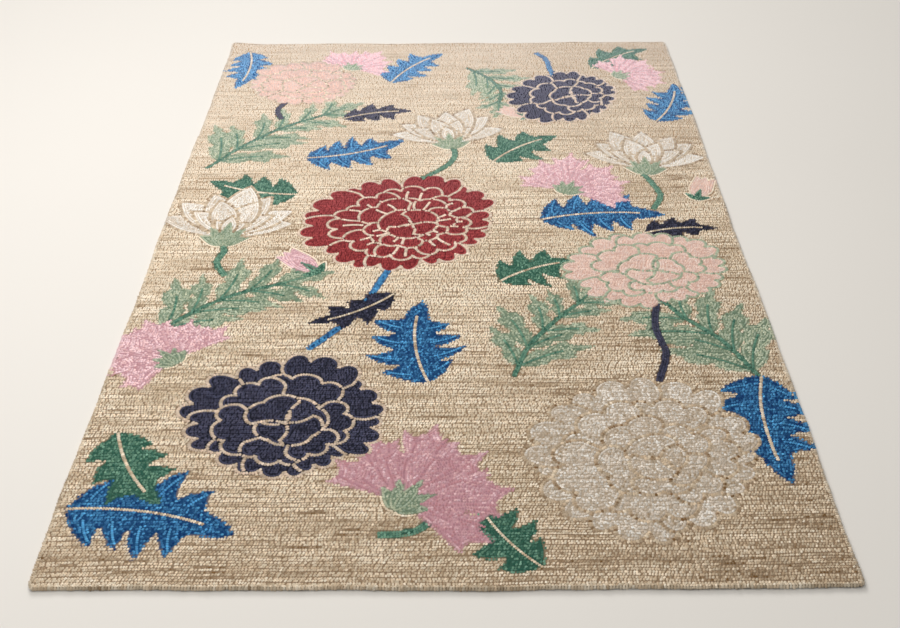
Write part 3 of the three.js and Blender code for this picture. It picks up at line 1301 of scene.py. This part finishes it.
def rim_stitches(plan):
    """Places, turns, stretches, tones and wools of the row of stitches round the rug."""
    rng = np.random.default_rng(SEED)
    planner = plan["planner"]
    points, way = rim_line(planner.width, planner.length, planner.corner, RIM_ROW["inset"], planner.pitch)
    count = len(points)
    owner = planner.owner_wool[planner.chart.top(points + 1j * RIM_LOOKUP * way)]
    points = points + 0.35j * way * rng.normal(size=count)
    turn = np.angle(way) + np.pi + 0.22 + 0.12 * rng.normal(size=count)
    tilt = -math.radians(RIM_ROW["tilt"]) + 0.06 * rng.normal(size=count)
    turns = np.stack([tilt, np.zeros(count), turn], axis=1)
    swell = 1 + 0.09 * rng.normal(size=(count, 3))
    stretches = np.array([RIM_ROW["wide"], RIM_ROW["long"], RIM_ROW["tall"]]) * swell * MM
    around = count * planner.pitch
    streak = value_noise(rng, np.zeros(count, int), np.arange(count) * planner.pitch, 1, around, 60)
    tone = np.clip(RIM_TONE + 0.09 * streak + 0.1 * rng.normal(size=count), 0, 1)
    return laid(points, RIM_ROW["height"], plan), turns, stretches, tone, owner


# The room: the places, sides and colours of its lights, and half the side of its floor, in metres
WINDOW = {"place": (-1.0, -0.1, 2.5), "sides": (3.2, 2.4)}
BACK_WINDOW = {"place": (-2.2, 9.0, 5.4), "sides": (4.5, 3.0)}
LAMP_COLOUR = (1.0, 0.965, 0.93)
ROOM_COLOUR = (1.0, 0.995, 0.955, 1)
FLOOR_HALF = 9.0


def soft_light(name, place, sides, power):
    """A large window that faces the rug's middle."""
    lamp = bpy.data.lights.new(name, "AREA")
    lamp.shape = "RECTANGLE"
    lamp.size, lamp.size_y = sides
    lamp.energy = power
    lamp.color = LAMP_COLOUR
    window = bpy.data.objects.new(name, lamp)
    window.location = place
    window.rotation_euler = (-Vector(place)).to_track_quat("-Z", "Y").to_euler()
    bpy.context.scene.collection.objects.link(window)


def camera_view(settings):
    """The camera's place and turn, from its yaw, pitch and roll."""
    yaw, pitch, roll = settings.camera_yaw, settings.camera_pitch, settings.camera_roll
    ahead = Vector((math.sin(yaw) * math.cos(pitch), math.cos(yaw) * math.cos(pitch), -math.sin(pitch)))
    level = Vector((math.cos(yaw), -math.sin(yaw), 0))
    above = level.cross(ahead)
    right = level * math.cos(roll) + above * math.sin(roll)
    up = above * math.cos(roll) - level * math.sin(roll)
    facing = Matrix((right, up, -ahead)).transposed().to_4x4()
    return Matrix.Translation(settings.camera_place) @ facing


# Operators


class RUG_OT_base_cloth(bpy.types.Operator):
    """Make the tufted cloth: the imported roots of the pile, its rolled rim and its underside"""

    bl_idname = "rug.base_cloth"
    bl_label = "Base Cloth"

    def execute(self, context):
        plan = stitch_plan(context)
        mesh = cloth_mesh(context.scene.rug_sizes, plan["middle"])
        cloth = new_piece("rug_cloth", mesh, root_material(), underside_material())
        colour_roots(mesh, context.scene.rug_wools, plan)
        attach(cloth, BODY)
        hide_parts(NODE)
        return {"FINISHED"}


class RUG_OT_ground_pile(bpy.types.Operator):
    """Stand the oatmeal loops of the ground, in bands from front to back"""

    bl_idname = "rug.ground_pile"
    bl_label = "Ground Pile"

    def execute(self, context):
        columns = stitch_plan(context)["columns"]
        half = context.scene.rug_sizes.length / MM / 2
        bands = ("front", "near", "far", "back")
        for number, name in enumerate(bands):
            low, high = (-half + 2 * half * step / len(bands) for step in (number, number + 1))
            chosen = (columns[5] == 0) & (columns[0].imag >= low) & (columns[0].imag < high)
            pile_piece(context, "ground_pile_" + name, "oatmeal", chosen)
        return {"FINISHED"}


class RUG_OT_design_pile(bpy.types.Operator):
    """Stand the loops of the flowers, leaves, stalks and outlines, one piece for each wool"""

    bl_idname = "rug.design_pile"
    bl_label = "Design Pile"

    def execute(self, context):
        columns = stitch_plan(context)["columns"]
        for number, wool in list(enumerate(WOOLS))[1:]:
            pile_piece(context, wool + "_pile", wool, columns[5] == number)
        return {"FINISHED"}


class RUG_OT_rim_stitches(bpy.types.Operator):
    """Roll the last row of stitches over the rim, one piece for each wool that reaches it"""

    bl_idname = "rug.rim_stitches"
    bl_label = "Rim Stitches"

    def execute(self, context):
        *columns, owner = rim_stitches(stitch_plan(context))
        for number in np.unique(owner):
            wool = WOOLS[number]
            chosen = (column[owner == number] for column in columns)
            piece = standing("rim_" + wool, *chosen, wool, context.scene.rug_wools)
            press_on_floor(piece.data)
        return {"FINISHED"}


class RUG_OT_lay(bpy.types.Operator):
    bl_idname = "rug.lay"
    bl_label = "Lay the Rug"

    def execute(self, context):
        return {"FINISHED"}


class RUG_OT_studio(bpy.types.Operator):
    """Make the pale floor, the soft light and the camera"""

    bl_idname = "rug.studio"
    bl_label = "Studio"

    def execute(self, context):
        scene, settings = context.scene, context.scene.rug_studio
        bm = bmesh.new()
        bmesh.ops.create_grid(bm, x_segments=1, y_segments=1, size=FLOOR_HALF)
        floor = new_piece("floor", mesh_from(bm, "floor"), floor_material())
        world = bpy.data.worlds.new("room")
        world.use_nodes = True
        background = world.node_tree.nodes["Background"].inputs
        background["Color"].default_value = ROOM_COLOUR
        background["Strength"].default_value = settings.room_light
        scene.world = world
        soft_light("window", **WINDOW, power=settings.window_power)
        soft_light("back_window", **BACK_WINDOW, power=settings.back_power)
        scene.view_settings.view_transform = "Standard"
        lens = bpy.data.cameras.new("camera")
        lens.lens = settings.lens
        camera = bpy.data.objects.new("camera", lens)
        scene.collection.objects.link(camera)
        camera.matrix_world = camera_view(settings)
        scene.camera = camera
        return {"FINISHED"}


class RUG_PT_panel(bpy.types.Panel):
    """Lists the rug's operators and settings in the sidebar"""

    bl_idname = "RUG_PT_panel"
    bl_label = "Tufted Rug"
    bl_space_type = "VIEW_3D"
    bl_region_type = "UI"
    bl_category = "Rug"

    def draw(self, context):
        for operator in OPERATORS:
            self.layout.operator(operator.bl_idname)
        for settings in (context.scene.rug_sizes, context.scene.rug_studio, context.scene.rug_wools):
            for name in settings.bl_rna.properties.keys():
                if name not in ("rna_type", "name"):
                    self.layout.prop(settings, name)


OPERATORS = (
    RUG_OT_base_cloth,
    RUG_OT_ground_pile,
    RUG_OT_design_pile,
    RUG_OT_rim_stitches,
    RUG_OT_lay,
    RUG_OT_studio,
)
CLASSES = (RugSizes, RugWools, StudioSettings, *OPERATORS, RUG_PT_panel)


def register():
    for each in CLASSES:
        bpy.utils.register_class(each)
    bpy.types.Scene.rug_sizes = bpy.props.PointerProperty(type=RugSizes)
    bpy.types.Scene.rug_wools = bpy.props.PointerProperty(type=RugWools)
    bpy.types.Scene.rug_studio = bpy.props.PointerProperty(type=StudioSettings)


def unregister():
    del bpy.types.Scene.rug_studio
    del bpy.types.Scene.rug_wools
    del bpy.types.Scene.rug_sizes
    for each in reversed(CLASSES):
        bpy.utils.unregister_class(each)


def main():
    register()
    bpy.ops.rug.base_cloth()
    bpy.ops.rug.ground_pile()
    bpy.ops.rug.design_pile()
    bpy.ops.rug.rim_stitches()
    bpy.ops.rug.lay()
    bpy.ops.rug.studio()


if __name__ == "__main__":
    main()
